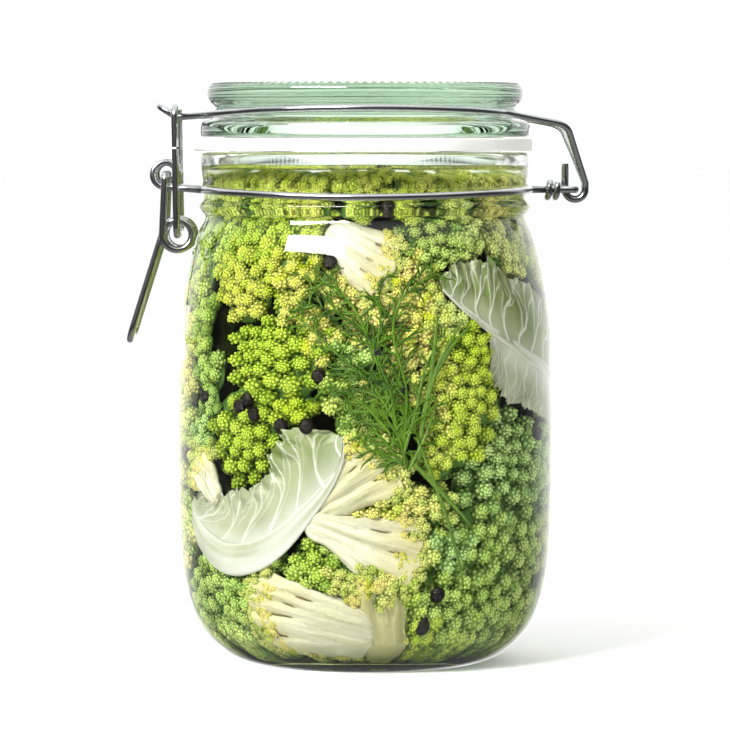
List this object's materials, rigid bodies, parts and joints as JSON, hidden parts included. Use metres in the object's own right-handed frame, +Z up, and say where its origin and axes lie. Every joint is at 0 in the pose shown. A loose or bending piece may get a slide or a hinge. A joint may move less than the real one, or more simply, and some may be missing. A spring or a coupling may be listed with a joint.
{
  "type": "clip top jar",
  "caption": "Glass storage jar with a glass lid, rubber ring and wire clip closure, shut, filled with pickled romanesco, cauliflower leaves, dill and peppercorns in brine.",
  "frame": {"origin": "centre of the flat face under the jar, on the jar's axis", "axes": "+Z up along the jar's axis, +X from the clip to the hinge, +Y away from the viewer"},
  "size_m": [0.1355, 0.11, 0.17],
  "materials": {
    "jar_glass": "clear polished glass",
    "lid_glass": "pale green polished glass",
    "rubber": "smooth pale translucent rubber",
    "steel_wire": "bright drawn wire",
    "pickles": null
  },
  "bodies": {
    "jar": {"jar_glass": "jar_glass", "pickles": "pickles", "neck_wire": "steel_wire", "binding_ring": "steel_wire"},
    "lid": {"lid_glass": "lid_glass", "gasket": "rubber", "lid_wire": "steel_wire"},
    "lever": {"lever": "steel_wire"},
    "link": {"link": "steel_wire"}
  },
  "joints": [
    {"name": "lid_hinge", "type": "hinge", "parent": "jar", "child": "lid", "pos_m": [0.0617, 0, 0.1388], "axis": [0, 1, 0], "range_deg": [0, 180]},
    {"name": "lever_pivot", "type": "hinge", "parent": "jar", "child": "lever", "pos_m": [-0.0582, 0, 0.1432], "axis": [0, 1, 0], "range_deg": [0, 90]},
    {"name": "link_pivot", "type": "hinge", "parent": "lever", "child": "link", "pos_m": [-0.0547, 0, 0.1256], "axis": [0, 1, 0], "range_deg": [-47.5, 0]}
  ],
  "couplings": [
    {"joint": "link_pivot", "follows": "lever_pivot", "ratio": -0.52}
  ]
}
